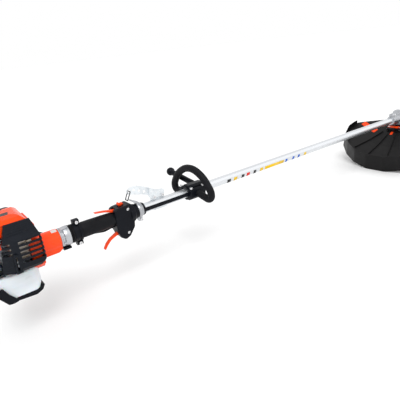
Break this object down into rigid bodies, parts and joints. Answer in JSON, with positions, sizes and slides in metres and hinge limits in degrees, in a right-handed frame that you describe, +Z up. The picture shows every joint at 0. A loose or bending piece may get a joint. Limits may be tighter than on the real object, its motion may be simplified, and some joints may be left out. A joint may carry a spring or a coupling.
{
  "type": "brush cutter",
  "caption": "Petrol brush cutter with a straight drive tube, loop handle, barrier bar, harness plate and an angled head with a toothed blade under a flared guard.",
  "frame": {"origin": "centre of the footprint at the lowest point, the back rim of the blade guard", "axes": "+X along the drive tube from engine to cutting head, +Y the user's left, +Z up"},
  "size_m": [1.9388, 0.5168, 0.3198],
  "materials": {
    "orange_plastic": "gloss moulded plastic",
    "orange_paint": "gloss enamel on a die casting",
    "black_plastic": "satin moulded plastic",
    "rubber": "satin rubber",
    "bulb_rubber": "soft, slightly clear",
    "milky_plastic": "milky, lets a little light through",
    "cast_alloy": "as cast, lightly blasted",
    "polished_tube": "polished",
    "steel": "machined",
    "bright_steel": "bright plated",
    "heat_steel": "heat tinted sheet",
    "blade_steel": "ground",
    "zinc": "zinc plated",
    "felt": "pleated felt"
  },
  "bodies": {
    "machine": {"clutch_housing": "orange_paint", "crankcase": "cast_alloy", "ball_bearings": "bright_steel", "cylinder": "cast_alloy", "spark_plug": "steel", "ignition_coil": "black_plastic", "muffler": "heat_steel", "muffler_cover": "black_plastic", "engine_cover": "orange_plastic", "starter_cover": "black_plastic", "carburettor": "cast_alloy", "air_cleaner_case": "black_plastic", "air_filter": "felt", "air_cleaner_cover": "black_plastic", "fuel_tank": "milky_plastic", "fuel_lines": "rubber", "tank_guard": "black_plastic", "isolator_bell": "cast_alloy", "isolator_rubber": "rubber", "rear_collar": "black_plastic", "rear_grip": "rubber", "throttle_housing_left": "black_plastic", "throttle_housing_right": "black_plastic", "throttle_cable": "black_plastic", "clamp_ring": "cast_alloy", "drive_tube": "polished_tube", "tube_bushes": "rubber", "handle_spacer": "black_plastic", "hanger_clamp": "black_plastic", "hanger_plate": "zinc", "handle_clamp": "black_plastic", "loop_handle": "rubber", "barrier_bar": "black_plastic", "m5_screws": "bright_steel", "gear_case": "cast_alloy", "shield": "black_plastic", "shield_accents": "orange_plastic"},
    "crank": {"crankshaft": "steel", "flywheel": "cast_alloy", "clutch_shoes": "steel"},
    "blade_set": {"output_shaft": "steel", "output_gear": "steel", "blade_holder": "steel", "blade": "blade_steel", "stabiliser_cup": "bright_steel", "blade_nut": "bright_steel"},
    "drive": {"clutch_drum": "steel", "drive_shaft": "steel", "pinion_gear": "steel"},
    "trigger": {"throttle_trigger": "orange_plastic"},
    "lock": {"throttle_lock": "orange_plastic"},
    "cam": {"throttle_cam": "zinc"},
    "switch": {"stop_switch": "orange_plastic"},
    "choke": {"choke_lever": "black_plastic"},
    "primer": {"purge_bulb": "bulb_rubber"},
    "tank_cap": {"fuel_cap": "black_plastic"},
    "cleaner_knob": {"air_cleaner_knob": "black_plastic"},
    "pull": {"starter_handle": "black_plastic"},
    "pulley": {"starter_pulley": "black_plastic"},
    "link": {"hanger_link": "bright_steel"}
  },
  "joints": [
    {"name": "crank_spin", "type": "hinge", "parent": "machine", "child": "crank", "pos_m": [-0.8314, 0, 0.20782], "axis": [1, 0, 0], "continuous": true},
    {"name": "blade_spin", "type": "hinge", "parent": "machine", "child": "blade_set", "pos_m": [0.8436, 0, 0.20782], "axis": [0.5, 0, -0.866], "continuous": true},
    {"name": "drive_spin", "type": "hinge", "parent": "machine", "child": "drive", "pos_m": [-0.0714, 0, 0.20782], "axis": [1, 0, 0], "continuous": true},
    {"name": "throttle_trigger_pivot", "type": "hinge", "parent": "machine", "child": "trigger", "pos_m": [-0.6144, 0, 0.16482], "axis": [0, 1, 0], "range_deg": [0, 18], "stiffness_Nm_per_rad": 0.4, "springref_deg": -20.05},
    {"name": "throttle_lock_pivot", "type": "hinge", "parent": "machine", "child": "lock", "pos_m": [-0.6194, 0, 0.22782], "axis": [0, 1, 0], "range_deg": [-7, 0], "stiffness_Nm_per_rad": 0.2, "springref_deg": 20.05},
    {"name": "throttle_cam_pivot", "type": "hinge", "parent": "machine", "child": "cam", "pos_m": [-0.8904, 0.057, 0.27382], "axis": [0, 0, -1], "range_deg": [0, 45]},
    {"name": "stop_switch_slide", "type": "slide", "parent": "machine", "child": "switch", "axis": [1, 0, 0], "range_m": [-0.0012, 0.0012]},
    {"name": "choke_lever_pivot", "type": "hinge", "parent": "machine", "child": "choke", "pos_m": [-0.8994, 0.1, 0.24782], "axis": [0, 1, 0], "range_deg": [0, 35]},
    {"name": "primer_press", "type": "slide", "parent": "machine", "child": "primer", "axis": [0, 0, 1], "range_m": [0, 0.004], "stiffness_N_per_m": 1500, "springref_m": -0.001},
    {"name": "fuel_cap_turn", "type": "hinge", "parent": "machine", "child": "tank_cap", "pos_m": [-0.8754, 0.06, 0.14782], "axis": [0, 1, 0], "range_deg": [0, 270]},
    {"name": "air_cleaner_knob_turn", "type": "hinge", "parent": "machine", "child": "cleaner_knob", "pos_m": [-0.8714, 0.11, 0.25782], "axis": [0, 1, 0], "range_deg": [0, 270]},
    {"name": "starter_pull", "type": "slide", "parent": "machine", "child": "pull", "axis": [0, 0, 1], "range_m": [0, 0.04]},
    {"name": "starter_pulley_spin", "type": "hinge", "parent": "machine", "child": "pulley", "pos_m": [-0.9534, 0, 0.20782], "axis": [1, 0, 0], "range_deg": [0, 87.6], "stiffness_Nm_per_rad": 0.03, "springref_deg": -171.89},
    {"name": "hanger_link_swing", "type": "hinge", "parent": "machine", "child": "link", "pos_m": [-0.5704, 0, 0.26982], "axis": [0, 1, 0], "range_deg": [-15, 45]}
  ],
  "couplings": [
    {"joint": "drive_spin", "follows": "blade_spin", "ratio": -1.3333},
    {"joint": "starter_pull", "follows": "starter_pulley_spin", "m_per_rad": 0.026},
    {"joint": "throttle_cam_pivot", "follows": "throttle_trigger_pivot", "ratio": 2.5}
  ]
}
